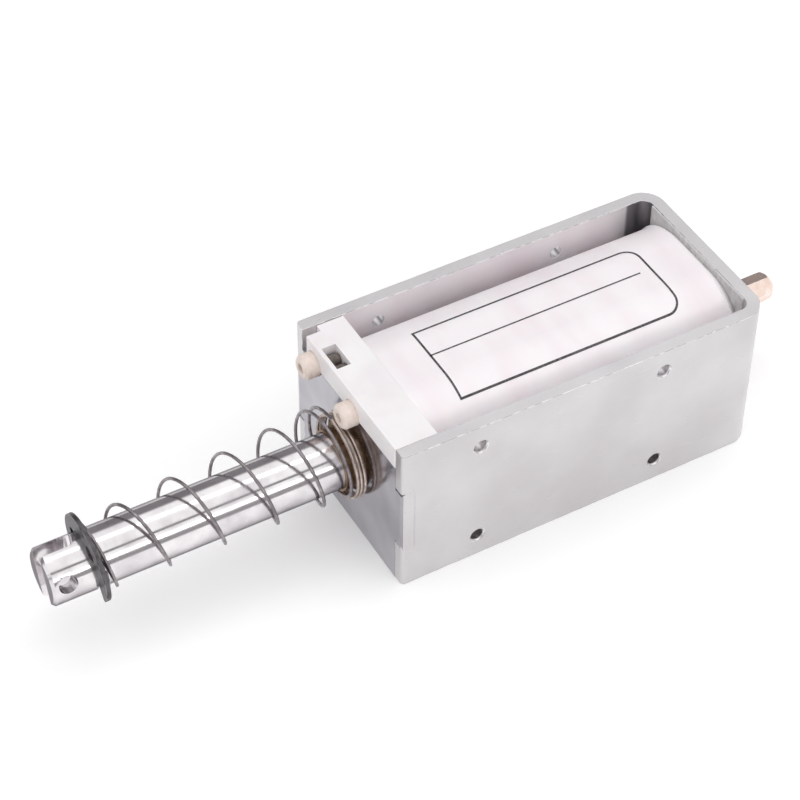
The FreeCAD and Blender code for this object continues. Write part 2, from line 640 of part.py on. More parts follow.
def makeSpring():
    """Round wire wound with closed turns at the plate, open turns and a closed end turn.

    Each half turn is an arc in a plane of its own, tilted by the pitch. All arcs run straight
    across at the top and bottom, where they meet, so the wire has no kink."""
    halfTurns = round(2 * (sheet.closedTurns + sheet.openTurns + sheet.endTurns))
    ends = [springTurn(index / 2, halfTurns / 2) for index in range(halfTurns + 1)]
    arcs = []
    for index, (start, end) in enumerate(zip(ends, ends[1:])):
        bulge = (end - start).Length / 2 * (1 if index % 2 == 0 else -1)
        middle = (start + end) / 2 + FreeCAD.Vector(0, bulge, 0)
        arcs.append(Part.Arc(start, middle, end).toShape())
    sides = int(sheet.wireSides)
    corners = []
    for side in range(sides + 1):
        angle = 2 * math.pi * (side + 0.5) / sides
        ray = FreeCAD.Vector(math.cos(angle), 0, math.sin(angle))
        corners.append(ends[0] + ray * (sheet.wireDia / 2))
    sweep = Part.BRepOffsetAPI.MakePipeShell(Part.Wire(arcs))
    sweep.add(Part.makePolygon(corners))
    sweep.build()
    sweep.makeSolid()
    spring = doc.addObject("Part::Feature", "return_spring")
    spring.Label = "return_spring"
    spring.Shape = sweep.shape()
    place(spring)
    return spring


parts = [
    makeFrame(),
    makeFrontPlate(),
    makeBobbin(),
    makeWinding(),
    makeWrap(),
    makeTurned("guide_tube", [
        ("-Sizes.tubeSnout", TUBE_BORE), ("-Sizes.tubeSnout", TUBE_OUTSIDE),
        ("-Sizes.collarThick", TUBE_OUTSIDE), ("-Sizes.collarThick", "Sizes.collarDia/2"),
        ("0", "Sizes.collarDia/2"), ("0", TUBE_OUTSIDE),
        (WALL_INSIDE, TUBE_OUTSIDE), (WALL_INSIDE, TUBE_BORE)]),
    makeTurned("pole_piece", [
        (POLE_FACE, "Sizes.coneWide/2"), (POLE_FACE, "Sizes.shadingInner/2"),
        (POLE_FACE + " + Sizes.shadingDepth", "Sizes.shadingInner/2"),
        (POLE_FACE + " + Sizes.shadingDepth", "Sizes.shadingOuter/2"),
        (POLE_FACE, "Sizes.shadingOuter/2"), (POLE_FACE, PLUNGER_RADIUS),
        (WALL_INSIDE, PLUNGER_RADIUS), (WALL_INSIDE, "Sizes.spigotDia/2"),
        (REAR_FACE, "Sizes.spigotDia/2"), (REAR_FACE, "Sizes.rodBushDia/2"),
        (SEAT_FLOOR, "Sizes.rodBushDia/2"), (SEAT_FLOOR, "Sizes.coneNarrow/2")]),
    makeTurned("shading_ring", [
        (POLE_FACE, "Sizes.shadingInner/2 + Sizes.runGap/2"),
        (POLE_FACE, "Sizes.shadingOuter/2 - Sizes.runGap/2"),
        (POLE_FACE + " + Sizes.shadingDepth", "Sizes.shadingOuter/2 - Sizes.runGap/2"),
        (POLE_FACE + " + Sizes.shadingDepth", "Sizes.shadingInner/2 + Sizes.runGap/2")]),
    makeTurned("rod_bush", [
        (SEAT_FLOOR, ROD_RADIUS + " + Sizes.runGap"),
        (SEAT_FLOOR, "Sizes.rodBushDia/2 - Sizes.runGap/2"),
        (REAR_FACE, "Sizes.rodBushDia/2 - Sizes.runGap/2"),
        (REAR_FACE, ROD_RADIUS + " + Sizes.runGap")]),
    makeTurned("stop_washer", [
        (REAR_FACE, ROD_RADIUS + " + Sizes.slipGap"), (REAR_FACE, "Sizes.washerDia/2"),
        (HEX_FACE, "Sizes.washerDia/2"), (HEX_FACE, ROD_RADIUS + " + Sizes.slipGap")]),
    makeInsulator("front_insulator", "Sizes.sheetThick"),
    makeInsulator("rear_insulator", REAR_FLANGE_BACK),
    makeLeadBush("lead_bush_far", LEAD_FAR),
    makeLeadBush("lead_bush_near", LEAD_NEAR),
    makeLeadJoint("lead_joint_far", "+"),
    makeLeadJoint("lead_joint_near", "-"),
    makeSpring(),
    makeClip(),
    makePlunger(),
    makeTurned("push_rod", [
        (NOSE_END + " - Sizes.rodSocket", "0"), (NOSE_END + " - Sizes.rodSocket", ROD_RADIUS),
        (HEX_FACE, ROD_RADIUS), (HEX_FACE, "Sizes.rodThreadDia/2"),
        (HEX_FACE + " + Sizes.rodThreadLength", "Sizes.rodThreadDia/2"),
        (HEX_FACE + " + Sizes.rodThreadLength", "0")]),
    makeHexTip(),
]

doc.recompute()
for item in doc.Objects:
    if "Invalid" in item.State or "Error" in item.State:
        raise RuntimeError("%s did not build: %s" % (item.Label, item.State))
for part in parts:
    if part.Shape.isNull() or not part.Shape.isValid() or not part.Shape.Solids:
        raise RuntimeError("%s has no valid solid" % part.Label)

os.makedirs("parts", exist_ok=True)
for part in parts:
    part.Shape.exportStep("parts/%s.step" % part.Label)
    box = part.Shape.BoundBox
    print("%-16s solids %d volume %10.2f x %.2f..%.2f y %.2f..%.2f z %.2f..%.2f" % (
        part.Label, len(part.Shape.Solids), part.Shape.Volume,
        box.XMin, box.XMax, box.YMin, box.YMax, box.ZMin, box.ZMax))
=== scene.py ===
import math

import bmesh
import bpy
from mathutils import Matrix, Vector


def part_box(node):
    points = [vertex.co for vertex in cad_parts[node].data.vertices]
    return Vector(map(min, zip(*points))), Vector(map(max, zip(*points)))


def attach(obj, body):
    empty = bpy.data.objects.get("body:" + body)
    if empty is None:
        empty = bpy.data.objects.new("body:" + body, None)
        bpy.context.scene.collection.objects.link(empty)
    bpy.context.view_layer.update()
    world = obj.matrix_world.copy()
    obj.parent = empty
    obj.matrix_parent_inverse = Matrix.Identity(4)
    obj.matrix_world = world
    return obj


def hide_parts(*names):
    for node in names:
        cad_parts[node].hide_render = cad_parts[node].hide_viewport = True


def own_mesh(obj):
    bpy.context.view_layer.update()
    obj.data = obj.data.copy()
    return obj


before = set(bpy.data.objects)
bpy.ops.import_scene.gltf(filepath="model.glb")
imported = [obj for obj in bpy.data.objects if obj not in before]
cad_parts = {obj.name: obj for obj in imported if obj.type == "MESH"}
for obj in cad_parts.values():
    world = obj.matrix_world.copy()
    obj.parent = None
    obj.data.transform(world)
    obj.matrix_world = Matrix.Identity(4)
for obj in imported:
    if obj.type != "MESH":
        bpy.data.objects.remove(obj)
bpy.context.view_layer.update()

mm = 0.001
frameLow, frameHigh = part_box("u_frame")
frontX, bottomZ, wallOutside = frameLow.x, frameLow.z, frameHigh.y
axisZ = (frameLow.z + frameHigh.z) / 2
sheetThick = 3.5 * mm


def onlySelect(piece):
    bpy.ops.object.select_all(action="DESELECT")
    piece.select_set(True)
    bpy.context.view_layer.objects.active = piece


def srgb(code, alpha=1.0):
    # hex colour as a paint program shows it, turned to the linear values that the shader wants
    channels = [int(code[i:i + 2], 16) / 255 for i in (1, 3, 5)]
    linear = [c / 12.92 if c <= 0.04045 else ((c + 0.055) / 1.055) ** 2.4 for c in channels]
    return (*linear, alpha)


def perMm(size):
    # noise scale at which one blob of the pattern is about this many millimetres wide
    return 1 / (size * mm)


def newMaterial(name, colour, metallic, roughness):
    material = bpy.data.materials.new(name)
    material.use_nodes = True
    tree = material.node_tree
    shader = tree.nodes["Principled BSDF"]
    shader.inputs["Base Color"].default_value = srgb(colour)
    shader.inputs["Metallic"].default_value = metallic
    shader.inputs["Roughness"].default_value = roughness
    return material, tree, shader


def addNode(tree, kind, inputs=None, settings=None, out=0):
    # inputs take a number, a hex colour or the output of another node; gives back one output
    node = tree.nodes.new(kind)
    for name, value in (settings or {}).items():
        setattr(node, name, value)
    for name, value in (inputs or {}).items():
        socket = node.inputs[name]
        if isinstance(value, bpy.types.NodeSocket):
            tree.links.new(value, socket)
        else:
            socket.default_value = srgb(value) if isinstance(value, str) else value
    return node.outputs[out]


colourMix = {"data_type": "RGBA"}
factor, first, second, mixed = 0, 6, 7, 2     # sockets of a Mix node that is set to colour


# Bright zinc plating on cold rolled strip: satin and even, with very faint rolling lines.
# The lines are really under 0.1 mm apart and are drawn at 0.5 mm to show.
# Where a corner is given, the colour darkens towards it: painted shade deep in the bend.
def zincPlatedStrip(name, colour, cloud, roughness, lineDepth, corner=None):
    material, tree, shader = newMaterial(name, colour, 1.0, roughness)
    place = addNode(tree, "ShaderNodeTexCoord", out="Object")
    rolled = addNode(tree, "ShaderNodeMapping", {"Vector": place, "Scale": (0.06, 1.0, 1.0)})
    patches = addNode(tree, "ShaderNodeTexNoise", {
        "Vector": place, "Scale": perMm(24.0), "Detail": 3.0})
    lines = addNode(tree, "ShaderNodeTexNoise", {
        "Vector": rolled, "Scale": perMm(0.5), "Detail": 3.0})
    share = addNode(tree, "ShaderNodeMapRange", {
        "Value": patches, "From Min": 0.35, "From Max": 0.65})
    tone = addNode(tree, "ShaderNodeMix", {
        factor: share, first: colour, second: cloud}, colourMix, mixed)
    # painted shade: the colour darkens towards the given corner
    if corner:
        reach = [1 / (size * mm) for size in corner["reach"]]
        around = addNode(tree, "ShaderNodeMapping", {"Vector": place, "Scale": (*reach, 0.0)})
        middle = (corner["place"][0] * reach[0], corner["place"][1] * reach[1], 0.0)
        away = addNode(tree, "ShaderNodeVectorMath", {
            0: around, 1: middle}, {"operation": "DISTANCE"}, "Value")
        shadeShare = addNode(tree, "ShaderNodeMapRange", {
            "Value": away, "From Min": 0.93, "From Max": 1.07, "To Min": 1.0, "To Max": 0.0})
        tone = addNode(tree, "ShaderNodeMix", {
            factor: shadeShare, first: tone, second: corner["colour"]}, colourMix, mixed)
    tree.links.new(tone, shader.inputs["Base Color"])
    satin = addNode(tree, "ShaderNodeMapRange", {
        "Value": lines, "From Min": 0.3, "From Max": 0.7,
        "To Min": roughness - 0.03, "To Max": roughness + 0.04})
    tree.links.new(satin, shader.inputs["Roughness"])
    relief = addNode(tree, "ShaderNodeBump", {
        "Height": lines, "Distance": lineDepth * mm, "Strength": 0.4})
    tree.links.new(relief, shader.inputs["Normal"])
    return material


# Rubbed edge of the plated sheet: the plating is worn bright in short broken stretches, which on
# the frame also stand in for a glint along the edge: painted highlight
def rubbedEdgeAndGlint(name, colour, brightWearAndGlint, roughness):
    material, tree, shader = newMaterial(name, colour, 1.0, roughness)
    place = addNode(tree, "ShaderNodeTexCoord", out="Object")
    wearAndGlint = addNode(tree, "ShaderNodeTexNoise", {
        "Vector": place, "Scale": perMm(2.2), "Detail": 5.0})
    share = addNode(tree, "ShaderNodeMapRange", {"Value": wearAndGlint, "From Min": 0.44, "From Max": 0.56})
    tone = addNode(tree, "ShaderNodeMix", {
        factor: share, first: colour, second: brightWearAndGlint}, colourMix, mixed)
    tree.links.new(tone, shader.inputs["Base Color"])
    satin = addNode(tree, "ShaderNodeMapRange", {
        "Value": wearAndGlint, "From Min": 0.3, "From Max": 0.7,
        "To Min": roughness + 0.1, "To Max": roughness - 0.05})
    tree.links.new(satin, shader.inputs["Roughness"])
    return material


# Ground steel bar: bright, with very fine rings left by the grinding wheel and a light oil smear.
# The rings are really 0.02 mm apart and are drawn at 0.25 mm to show.
def groundSteel(name, colour, smear, roughness):
    material, tree, shader = newMaterial(name, colour, 1.0, roughness)
    shader.inputs["Specular Tint"].default_value = srgb("#8A888A")
    place = addNode(tree, "ShaderNodeTexCoord", out="Object")
    turned = addNode(tree, "ShaderNodeMapping", {"Vector": place, "Scale": (1.0, 0.02, 0.02)})
    rings = addNode(tree, "ShaderNodeTexNoise", {
        "Vector": turned, "Scale": perMm(0.25), "Detail": 4.0})
    smears = addNode(tree, "ShaderNodeTexNoise", {
        "Vector": place, "Scale": perMm(7.0), "Detail": 4.0})
    share = addNode(tree, "ShaderNodeMapRange", {
        "Value": smears, "From Min": 0.35, "From Max": 0.7})
    tone = addNode(tree, "ShaderNodeMix", {
        factor: share, first: colour, second: smear}, colourMix, mixed)
    tree.links.new(tone, shader.inputs["Base Color"])
    smeared = addNode(tree, "ShaderNodeMapRange", {
        "Value": smears, "From Min": 0.3, "From Max": 0.7,
        "To Min": roughness - 0.04, "To Max": roughness + 0.05})
    ringed = addNode(tree, "ShaderNodeMath", {
        0: rings, 1: 0.08, 2: smeared}, {"operation": "MULTIPLY_ADD"})
    satin = addNode(tree, "ShaderNodeMath", {0: ringed, 1: 0.04}, {"operation": "SUBTRACT"})
    tree.links.new(satin, shader.inputs["Roughness"])
    relief = addNode(tree, "ShaderNodeBump", {
        "Height": rings, "Distance": 0.002 * mm, "Strength": 0.4})
    tree.links.new(relief, shader.inputs["Normal"])
    return material


# Moulded nylon: off white, slightly waxy, with a fine spark-eroded texture.
# The grain is really about 0.05 mm and is drawn at 0.35 mm to show.
def mouldedNylon(name, colour, cloud):
    material, tree, shader = newMaterial(name, colour, 0.0, 0.42)
    shader.inputs["IOR"].default_value = 1.53
    shader.inputs["Subsurface Weight"].default_value = 0.08
    shader.inputs["Subsurface Scale"].default_value = 1.5 * mm
    place = addNode(tree, "ShaderNodeTexCoord", out="Object")
    grain = addNode(tree, "ShaderNodeTexNoise", {
        "Vector": place, "Scale": perMm(0.35), "Detail": 5.0})
    flow = addNode(tree, "ShaderNodeTexNoise", {
        "Vector": place, "Scale": perMm(11.0), "Detail": 2.0})
    share = addNode(tree, "ShaderNodeMapRange", {"Value": flow, "From Min": 0.35, "From Max": 0.75})
    tone = addNode(tree, "ShaderNodeMix", {
        factor: share, first: colour, second: cloud}, colourMix, mixed)
    tree.links.new(tone, shader.inputs["Base Color"])
    waxy = addNode(tree, "ShaderNodeMapRange", {
        "Value": grain, "From Min": 0.3, "From Max": 0.7, "To Min": 0.36, "To Max": 0.5})
    tree.links.new(waxy, shader.inputs["Roughness"])
    relief = addNode(tree, "ShaderNodeBump", {
        "Height": grain, "Distance": 0.012 * mm, "Strength": 0.35})
    tree.links.new(relief, shader.inputs["Normal"])
    return material


# Polyester film shrunk round the winding: smooth and white, with a soft sheen and faint waves
# where it lies over the turns of wire
def shrunkFilm(name, colour, cloud):
    material, tree, shader = newMaterial(name, colour, 0.0, 0.36)
    shader.inputs["IOR"].default_value = 1.6
    shader.inputs["Subsurface Weight"].default_value = 0.05
    shader.inputs["Subsurface Scale"].default_value = 1.0 * mm
    place = addNode(tree, "ShaderNodeTexCoord", out="Object")
    drawn = addNode(tree, "ShaderNodeMapping", {"Vector": place, "Scale": (1.0, 0.35, 0.35)})
    wound = addNode(tree, "ShaderNodeMapping", {"Vector": place, "Scale": (1.0, 0.05, 0.05)})
    waves = addNode(tree, "ShaderNodeTexNoise", {
        "Vector": drawn, "Scale": perMm(9.0), "Detail": 2.0})
    turns = addNode(tree, "ShaderNodeTexNoise", {
        "Vector": wound, "Scale": perMm(0.9), "Detail": 2.0})
    share = addNode(tree, "ShaderNodeMapRange", {
        "Value": waves, "From Min": 0.35, "From Max": 0.75})
    tone = addNode(tree, "ShaderNodeMix", {
        factor: share, first: colour, second: cloud}, colourMix, mixed)
    tree.links.new(tone, shader.inputs["Base Color"])
    height = addNode(tree, "ShaderNodeMath", {
        0: waves, 1: 3.0, 2: turns}, {"operation": "MULTIPLY_ADD"})
    relief = addNode(tree, "ShaderNodeBump", {
        "Height": height, "Distance": 0.02 * mm, "Strength": 0.25})
    tree.links.new(relief, shader.inputs["Normal"])
    return material


# Screen printing ink on the film: black, flat, a little thin in places.
# The mesh of the screen is really about 0.1 mm and is drawn at 0.5 mm to show.
def printInk(name, colour, thin):
    material, tree, shader = newMaterial(name, colour, 0.0, 0.55)
    place = addNode(tree, "ShaderNodeTexCoord", out="Object")
    mesh = addNode(tree, "ShaderNodeTexNoise", {
        "Vector": place, "Scale": perMm(0.5), "Detail": 3.0})
    share = addNode(tree, "ShaderNodeMapRange", {"Value": mesh, "From Min": 0.4, "From Max": 0.7})
    tone = addNode(tree, "ShaderNodeMix", {
        factor: share, first: colour, second: thin}, colourMix, mixed)
    tree.links.new(tone, shader.inputs["Base Color"])
    return material


# Phosphated spring steel: dark grey and dry, patchy with oil.
# The crystals are really about 0.02 mm and are drawn at 0.5 mm to show.
def phosphatedSteel(name, colour, oily):
    material, tree, shader = newMaterial(name, colour, 0.8, 0.45)
    place = addNode(tree, "ShaderNodeTexCoord", out="Object")
    grain = addNode(tree, "ShaderNodeTexNoise", {
        "Vector": place, "Scale": perMm(0.5), "Detail": 5.0})
    patches = addNode(tree, "ShaderNodeTexNoise", {
        "Vector": place, "Scale": perMm(3.5), "Detail": 4.0})
    share = addNode(tree, "ShaderNodeMapRange", {
        "Value": patches, "From Min": 0.4, "From Max": 0.62})
    tone = addNode(tree, "ShaderNodeMix", {
        factor: share, first: colour, second: oily}, colourMix, mixed)
    tree.links.new(tone, shader.inputs["Base Color"])
    dry = addNode(tree, "ShaderNodeMapRange", {
        "Value": patches, "From Min": 0.3, "From Max": 0.7, "To Min": 0.52, "To Max": 0.36})
    tree.links.new(dry, shader.inputs["Roughness"])
    relief = addNode(tree, "ShaderNodeBump", {
        "Height": grain, "Distance": 0.006 * mm, "Strength": 0.5})
    tree.links.new(relief, shader.inputs["Normal"])
    return material


# Drawn spring wire: grey and fairly bright, streaked with a film of drawing soap and oil.
# The marks of the die are really under 0.05 mm and are drawn at 0.3 mm to show.
def drawnWire(name, colour, film, filmLow, filmHigh):
    material, tree, shader = newMaterial(name, colour, 1.0, 0.3)
    place = addNode(tree, "ShaderNodeTexCoord", out="Object")
    streaks = addNode(tree, "ShaderNodeTexNoise", {
        "Vector": place, "Scale": perMm(1.6), "Detail": 4.0})
    die = addNode(tree, "ShaderNodeTexNoise", {"Vector": place, "Scale": perMm(0.3), "Detail": 3.0})
    share = addNode(tree, "ShaderNodeMapRange", {
        "Value": streaks, "From Min": 0.3, "From Max": 0.7, "To Min": filmLow, "To Max": filmHigh})
    tone = addNode(tree, "ShaderNodeMix", {
        factor: share, first: colour, second: film}, colourMix, mixed)
    tree.links.new(tone, shader.inputs["Base Color"])
    satin = addNode(tree, "ShaderNodeMapRange", {
        "Value": streaks, "From Min": 0.3, "From Max": 0.7, "To Min": 0.24, "To Max": 0.42})
    tree.links.new(satin, shader.inputs["Roughness"])
    relief = addNode(tree, "ShaderNodeBump", {
        "Height": die, "Distance": 0.003 * mm, "Strength": 0.4})
    tree.links.new(relief, shader.inputs["Normal"])
    return material


# Brass or copper, turned or drawn: warm metal with a thin brown tarnish.
# The drawing lines are really under 0.1 mm apart and are drawn at 0.6 mm to show.
def warmMetal(name, colour, tarnish, roughness):
    material, tree, shader = newMaterial(name, colour, 1.0, roughness)
    place = addNode(tree, "ShaderNodeTexCoord", out="Object")
    along = addNode(tree, "ShaderNodeMapping", {"Vector": place, "Scale": (0.08, 1.0, 1.0)})
    patches = addNode(tree, "ShaderNodeTexNoise", {
        "Vector": place, "Scale": perMm(3.0), "Detail": 4.0})
    drawn = addNode(tree, "ShaderNodeTexNoise", {
        "Vector": along, "Scale": perMm(0.6), "Detail": 3.0})
    share = addNode(tree, "ShaderNodeMapRange", {
        "Value": patches, "From Min": 0.3, "From Max": 0.7, "To Max": 0.8})
    tone = addNode(tree, "ShaderNodeMix", {
        factor: share, first: colour, second: tarnish}, colourMix, mixed)
    tree.links.new(tone, shader.inputs["Base Color"])
    dull = addNode(tree, "ShaderNodeMapRange", {
        "Value": patches, "From Min": 0.3, "From Max": 0.7,
        "To Min": roughness - 0.05, "To Max": roughness + 0.1})
    tree.links.new(dull, shader.inputs["Roughness"])
    relief = addNode(tree, "ShaderNodeBump", {
        "Height": drawn, "Distance": 0.004 * mm, "Strength": 0.5})
    tree.links.new(relief, shader.inputs["Normal"])
    return material


# Enamelled copper winding: fine ridges across the turns, glossy amber enamel, darker between the
# turns as painted shade in the grooves
def enamelledWinding(name, colour, shadeBetween):
    material, tree, shader = newMaterial(name, colour, 0.6, 0.28)
    shader.inputs["Coat Weight"].default_value = 0.5
    place = addNode(tree, "ShaderNodeTexCoord", out="Object")
    wires = addNode(tree, "ShaderNodeTexWave", {
        "Vector": place, "Scale": perMm(0.9) / (2 * math.pi), "Distortion": 0.3}, out="Fac")
    tone = addNode(tree, "ShaderNodeMix", {
        factor: wires, first: shadeBetween, second: colour}, colourMix, mixed)
    tree.links.new(tone, shader.inputs["Base Color"])
    relief = addNode(tree, "ShaderNodeBump", {
        "Height": wires, "Distance": 0.2 * mm, "Strength": 0.8})
    tree.links.new(relief, shader.inputs["Normal"])
    return material


# Vulcanised fibre, pressboard and varnished sleeving: fibrous and dull
def fibrousSheet(name, colour, fleck, size, roughness):
    material, tree, shader = newMaterial(name, colour, 0.0, roughness)
    place = addNode(tree, "ShaderNodeTexCoord", out="Object")
    pressed = addNode(tree, "ShaderNodeMapping", {"Vector": place, "Scale": (1.0, 1.0, 0.35)})
    fibres = addNode(tree, "ShaderNodeTexNoise", {
        "Vector": pressed, "Scale": perMm(size), "Detail": 6.0, "Roughness": 0.65})
    share = addNode(tree, "ShaderNodeMapRange", {
        "Value": fibres, "From Min": 0.35, "From Max": 0.7})
    tone = addNode(tree, "ShaderNodeMix", {
        factor: share, first: colour, second: fleck}, colourMix, mixed)
    tree.links.new(tone, shader.inputs["Base Color"])
    relief = addNode(tree, "ShaderNodeBump", {
        "Height": fibres, "Distance": 0.03 * mm, "Strength": 0.6})
    tree.links.new(relief, shader.inputs["Normal"])
    return material


# inside the far rear bend the strip is painted darker: painted shade
farCornerShade = {
    "place": (frameHigh.x - sheetThick, wallOutside - sheetThick),
    "reach": (6.5, 10.5),       # mm along the side wall and along the rear wall
    "colour": "#8E8B8E",
}
finishes = {
    "strip": zincPlatedStrip("zincPlatedStrip", "#D5D3D4", "#CBC8CA", 0.3, 0.003),
    # inside of the U: a lighter copy of the strip as painted light against the shade inside,
    # darkened again in the far rear bend as painted shade
    "stripInsideLightAndShade": zincPlatedStrip(
        "zincPlatedStripInsideLightAndShade", "#F4F2F3", "#EAE7E8", 0.4, 0.003, farCornerShade),
    # top edges: a lighter copy of the strip, painted light where they face up
    "stripRimLightened": zincPlatedStrip("zincPlatedStripRimLightened", "#E6E4E5", "#DBD8DA", 0.3, 0.003),
    # edges of the frame: worn bright in stretches, with a painted glint along them
    "stripEdge": rubbedEdgeAndGlint("rubbedStripEdgeAndGlint", "#ABA8AA", "#FFFFFF", 0.3),
    # the front plate, bright zinc: its colour is also darkened as painted shade of the front face
    "plate": zincPlatedStrip("brightZincPlateShaded", "#BDBBC1", "#A19EA5", 0.15, 0.002),
    "bar": groundSteel("groundSteelBar", "#F0EDEE", "#D2CDD0", 0.14),
    "core": groundSteel("turnedCoreSteel", "#B9B7B9", "#9C999B", 0.3),
    "nylon": mouldedNylon("mouldedNylon", "#FCF9FA", "#F4EEF0"),
    "film": shrunkFilm("shrunkPolyesterFilm", "#FDF8FA", "#F7ECF0"),
    "ink": printInk("blackPrintInk", "#363335", "#6A6668"),
    "clip": phosphatedSteel("phosphatedSpringSteel", "#6C6A6C", "#434143"),
    "clipEdge": rubbedEdgeAndGlint("rubbedClipEdge", "#4A484A", "#8E8A8C", 0.4),
    "wire": drawnWire("drawnSpringWire", "#A8A2A5", "#7C7477", 0.1, 0.9),
    # the closed turns: the same wire, warm with oil and painted lighter against the shade among the
    # close turns
    "oilyWireLightened": drawnWire("oiledSpringWireLightened", "#D9CCC5", "#B5A49B", 0.1, 1.0),
    "tube": warmMetal("drawnBrassTube", "#A88C70", "#705844", 0.3),
    "hexagon": warmMetal("turnedBrassHexagon", "#FFEFE6", "#E6CABC", 0.26),
    "ring": warmMetal("copperRing", "#C9805C", "#8A4C34", 0.3),
    "winding": enamelledWinding("enamelledCopperWinding", "#A5512B", "#5A2413"),
    "fibre": fibrousSheet("vulcanisedFibre", "#5B2A20", "#3F1B15", 1.2, 0.7),
    "board": fibrousSheet("pressedInsulatingBoard", "#DAD8D8", "#BFBCBD", 1.5, 0.7),
    "cream": fibrousSheet("varnishedGlassSleeve", "#F8ECE4", "#EBD8CB", 1.1, 0.5),
    "tape": fibrousSheet("varnishedClothTape", "#7B716B", "#4F4742", 0.9, 0.6),
}
print("materials ready")


def dress(piece, *names):
    piece.data.materials.clear()
    for name in names:
        piece.data.materials.append(finishes[name])


# the tongues of the plate lie flush in the notches of the walls, and no rounding shows the seam;
# measures from the front, from the middle and from the bottom of the frame
flushTongue = {
    "along": (-0.1, 4.5), "across": (24.45, 28.1), "up": (13.6, 34.3),
    "frontEdge": 0.1, "cornerLength": 3.0,      # upright edges in the front face are still rounded
    "endDepth": 0.5, "middle": 1.0,             # corners at the end of a tongue, and at its back
    "notchAlong": (2.5, 4.5), "notchUp": 12.0,  # where the corners of the notch in the wall are
}


def staysSharp(edge, zone):
    # an edge inside the zone where the tongue and the wall meet flush
    ends = [vertex.co for vertex in edge.verts]
    upright = abs(ends[0].z - ends[1].z) > zone["cornerLength"] * mm
    if upright and max(end.x for end in ends) < frontX + zone["frontEdge"] * mm:
        return False
    return all(low * mm <= place <= high * mm for end in ends for place, (low, high) in (
        (end.x - frontX, zone["along"]), (abs(end.y), zone["across"]),
        (end.z - bottomZ, zone["up"])))


def closeSeams(work, notch):
    # the ends of the tongues fill their notches, as they do once the plating has closed the seams
    for vertex in work.verts:
        if abs(vertex.co.y) > wallOutside - flushTongue["endDepth"] * mm:
            vertex.co.y = math.copysign(wallOutside, vertex.co.y)
            vertex.co.z = notch["low"] if vertex.co.z < axisZ else notch["high"]
            if vertex.co.x > frontX + flushTongue["middle"] * mm:
                vertex.co.x = notch["back"]


rounding = {"weld": 0.002, "flatWithin": 1.0, "smoothWithin": 32.0}      # mm, degrees, degrees


def roundedCopy(node, name, settings):
    # a merged copy of the node's mesh with the small round edges that the real piece has
    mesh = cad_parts[node].data.copy()
    mesh.name = name
    piece = bpy.data.objects.new(name, mesh)
    bpy.context.collection.objects.link(piece)
    onlySelect(piece)
    bpy.ops.object.mode_set(mode="EDIT")
    bpy.ops.mesh.select_all(action="SELECT")
    bpy.ops.mesh.remove_doubles(threshold=rounding["weld"] * mm)
    bpy.ops.mesh.customdata_custom_splitnormals_clear()
    bpy.ops.mesh.dissolve_limited(angle_limit=math.radians(rounding["flatWithin"]))
    bpy.ops.object.mode_set(mode="OBJECT")
    work = bmesh.new()
    work.from_mesh(mesh)
    if "fill" in settings:
        closeSeams(work, settings["fill"])
    weight = work.edges.layers.float.new("bevel_weight_edge")
    for edge in work.edges:
        turned = (len(edge.link_faces) == 2
                  and math.degrees(edge.calc_face_angle()) > settings["edgeAngle"])
        flush = "flush" in settings and staysSharp(edge, settings["flush"])
        edge[weight] = 1.0 if turned and not flush else 0.0
    work.to_mesh(mesh)
    work.free()
    dress(piece, *settings["finishes"])
    bevel = piece.modifiers.new("roundEdges", "BEVEL")
    bevel.width = settings["edgeRadius"] * mm
    bevel.segments = settings["edgeSteps"]
    bevel.limit_method = "WEIGHT"
    bevel.use_clamp_overlap = True
    bevel.material = len(settings["finishes"]) - 1 if len(settings["finishes"]) > 1 else -1
    bpy.ops.object.modifier_apply(modifier=bevel.name)
    bpy.ops.object.shade_smooth_by_angle(angle=math.radians(rounding["smoothWithin"]))
    flat = piece.modifiers.new("flatFaces", "WEIGHTED_NORMAL")
    flat.keep_sharp = True
    bpy.ops.object.modifier_apply(modifier=flat.name)
    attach(piece, settings["body"])
    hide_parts(node)
    print(name, len(piece.data.polygons), "faces")
    return piece


bentFrame = roundedCopy("u_frame", "bentFrame", {
    "edgeRadius": 0.35, "edgeSteps": 3, "edgeAngle": 40, "flush": flushTongue,
    "finishes": ("strip", "stripInsideLightAndShade", "stripRimLightened", "stripEdge"),
    "body": "housing", "slot": "zinc_plate"})
faceTests = {
    "forwards": 0.5, "upwards": 0.9, "sideways": 0.99,      # least share of the normal that way
    "level": 0.1,                   # most that the normal of an upright face points up or down
    "onWall": 0.01, "nearWall": 0.1,        # mm from the outside of the walls
}
for face in bentFrame.data.polygons:
    inward = face.center.y * face.normal.y < 0 or (
        face.center.x > 0 and face.normal.x < -faceTests["forwards"])
    if face.material_index == 0 and abs(face.normal.z) < faceTests["level"] and inward:
        face.material_index = 1     # inside of the U, painted lighter than the outside against the shade there
    elif face.material_index == 0 and face.normal.z > faceTests["upwards"]:
        face.material_index = 2     # top edges, painted lighter than the rolled faces: painted light on the faces turned up
notchFront, notchBack = (frontX + place * mm for place in flushTongue["notchAlong"])
notchCorners = [vertex.co for vertex in bentFrame.data.vertices
                if abs(vertex.co.y) > wallOutside - faceTests["onWall"] * mm
                and notchFront < vertex.co.x < notchBack
                and abs(vertex.co.z - axisZ) < flushTongue["notchUp"] * mm]

